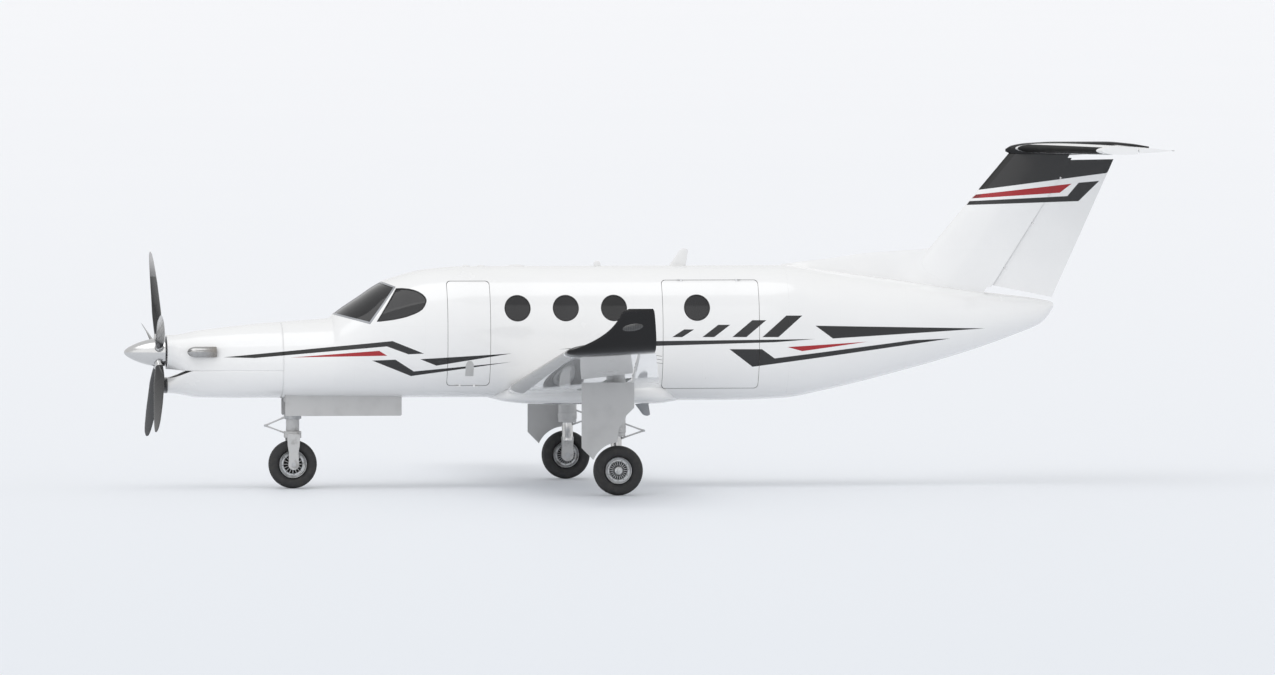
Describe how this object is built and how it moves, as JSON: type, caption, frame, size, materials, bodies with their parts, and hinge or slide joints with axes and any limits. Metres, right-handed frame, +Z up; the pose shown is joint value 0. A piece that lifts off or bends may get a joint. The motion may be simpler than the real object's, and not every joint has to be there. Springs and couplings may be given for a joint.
{
  "type": "single-engine turboprop plane",
  "caption": "Low-wing single-engine turboprop plane with T-tail, winglets, opening side doors, steerable nose wheel and moving control surfaces.",
  "frame": {"origin": "on the ground under the middle of the plane's length, between its sides", "axes": "+X aft along the fuselage with the nose at -X, +Y to the plane's right wing, +Z up"},
  "size_m": [14.86, 16.5268, 4.957],
  "materials": {
    "white_paint": "gloss enamel",
    "light_skin": "gloss enamel on a thin light skin",
    "charcoal_paint": "gloss charcoal enamel",
    "polished_metal": "polished",
    "machined_steel": "machined",
    "blade_composite": "black composite with silver tips",
    "engine_metal": "cast and machined",
    "gear_paint": "semi-gloss light grey",
    "door_skin": "gloss enamel",
    "gear_door_skin": "semi-gloss grey",
    "tyre": "ribbed rubber",
    "wheel_alloy": "cast and polished",
    "tinted_glass": "tinted, glossy",
    "cabin_trim": "matte",
    "seat_leather": "fine grain",
    "panel_plastic": "matte black",
    "floor_covering": "matte"
  },
  "bodies": {
    "airframe": {"belly_antenna": "light_skin", "belly_fairing": "light_skin", "cabin_floor": "floor_covering", "cabin_shell": "light_skin", "cabin_windows_left": "tinted_glass", "cabin_windows_right": "tinted_glass", "cockpit_side_window_left": "tinted_glass", "cockpit_side_window_right": "tinted_glass", "cowl_lower": "white_paint", "cowl_upper": "white_paint", "crew_seat_left": "seat_leather", "crew_seat_right": "seat_leather", "engine_block": "engine_metal", "exhaust_left": "polished_metal", "exhaust_right": "polished_metal", "fin": "light_skin", "instrument_panel": "panel_plastic", "intake_lip": "charcoal_paint", "main_gear_door_left": "door_skin", "main_gear_door_right": "door_skin", "main_leg_left": "gear_paint", "main_leg_right": "gear_paint", "nose_gear_door_left": "gear_door_skin", "nose_gear_door_right": "gear_door_skin", "nose_leg": "gear_paint", "passenger_seats": "seat_leather", "roof_antenna": "light_skin", "stabilizer": "light_skin", "tail_bullet": "charcoal_paint", "tail_cone": "light_skin", "windshield": "tinted_glass", "wing_left": "light_skin", "wing_right": "light_skin", "winglet_left": "charcoal_paint", "winglet_right": "charcoal_paint"},
    "propeller": {"spinner": "polished_metal", "prop_hub": "machined_steel", "prop_blade_1": "blade_composite", "prop_blade_2": "blade_composite", "prop_blade_3": "blade_composite", "prop_blade_4": "blade_composite", "prop_blade_5": "blade_composite"},
    "nose_strut": {"nose_fork": "gear_paint"},
    "nose_roller": {"nose_wheel": "wheel_alloy", "nose_tyre": "tyre"},
    "main_roller_left": {"main_wheel_left": "wheel_alloy", "main_tyre_left": "tyre"},
    "main_roller_right": {"main_wheel_right": "wheel_alloy", "main_tyre_right": "tyre"},
    "front_door": {"entry_door": "light_skin", "entry_door_steps": "gear_paint"},
    "rear_door": {"cargo_door": "light_skin", "cargo_door_window": "tinted_glass"},
    "rudder_body": {"rudder": "light_skin"},
    "elevator_body": {"elevator_left": "light_skin", "elevator_right": "light_skin"},
    "aileron_body_left": {"aileron_left": "light_skin"},
    "aileron_body_right": {"aileron_right": "light_skin"},
    "flap_body_left": {"flap_left": "light_skin"},
    "flap_body_right": {"flap_right": "light_skin"}
  },
  "joints": [
    {"name": "propeller_spin", "type": "hinge", "parent": "airframe", "child": "propeller", "pos_m": [-6.94, 0, 1.96], "axis": [1, 0, 0], "continuous": true},
    {"name": "nose_steering", "type": "hinge", "parent": "airframe", "child": "nose_strut", "pos_m": [-5.004, 0, 0.823], "axis": [0, 0, 1], "range_deg": [-60, 60]},
    {"name": "nose_wheel_spin", "type": "hinge", "parent": "nose_strut", "child": "nose_roller", "pos_m": [-5.004, 0, 0.348], "axis": [0, 1, 0], "continuous": true},
    {"name": "main_wheel_left_spin", "type": "hinge", "parent": "airframe", "child": "main_roller_left", "pos_m": [-0.685, -3.11, 0.3525], "axis": [0, 1, 0], "continuous": true},
    {"name": "main_wheel_right_spin", "type": "hinge", "parent": "airframe", "child": "main_roller_right", "pos_m": [-0.685, 3.11, 0.3525], "axis": [0, 1, 0], "continuous": true},
    {"name": "entry_door_hinge", "type": "hinge", "parent": "airframe", "child": "front_door", "pos_m": [-2.55, -0.67099, 1.4745], "axis": [1, 0, 0], "range_deg": [0, 125]},
    {"name": "cargo_door_hinge", "type": "hinge", "parent": "airframe", "child": "rear_door", "pos_m": [0.94, -0.64797, 2.9985], "axis": [-1, 0, 0], "range_deg": [0, 95]},
    {"name": "rudder_hinge", "type": "hinge", "parent": "airframe", "child": "rudder_body", "pos_m": [5.13938, 0, 2.885], "axis": [0.5354, 0, 0.8446], "range_deg": [-25, 25]},
    {"name": "elevator_hinge", "type": "hinge", "parent": "airframe", "child": "elevator_body", "pos_m": [6.905, 0, 4.86], "axis": [0, 1, 0], "range_deg": [-25, 15]},
    {"name": "aileron_left_hinge", "type": "hinge", "parent": "airframe", "child": "aileron_body_left", "pos_m": [-0.6525, -5.116, 1.90472], "axis": [0.1103, 0.9889, -0.0996], "range_deg": [-20, 20]},
    {"name": "aileron_right_hinge", "type": "hinge", "parent": "airframe", "child": "aileron_body_right", "pos_m": [-0.6525, 5.116, 1.90472], "axis": [-0.1103, 0.9889, 0.0996], "range_deg": [-20, 20]},
    {"name": "flap_left_hinge", "type": "hinge", "parent": "airframe", "child": "flap_body_left", "pos_m": [-0.20027, -1.06, 1.4962], "axis": [0.1103, 0.9889, -0.0996], "range_deg": [0, 40]},
    {"name": "flap_right_hinge", "type": "hinge", "parent": "airframe", "child": "flap_body_right", "pos_m": [-0.20027, 1.06, 1.4962], "axis": [-0.1103, 0.9889, 0.0996], "range_deg": [0, 40]}
  ],
  "couplings": [
    {"joint": "aileron_right_hinge", "follows": "aileron_left_hinge", "ratio": -1},
    {"joint": "flap_right_hinge", "follows": "flap_left_hinge", "ratio": 1}
  ]
}
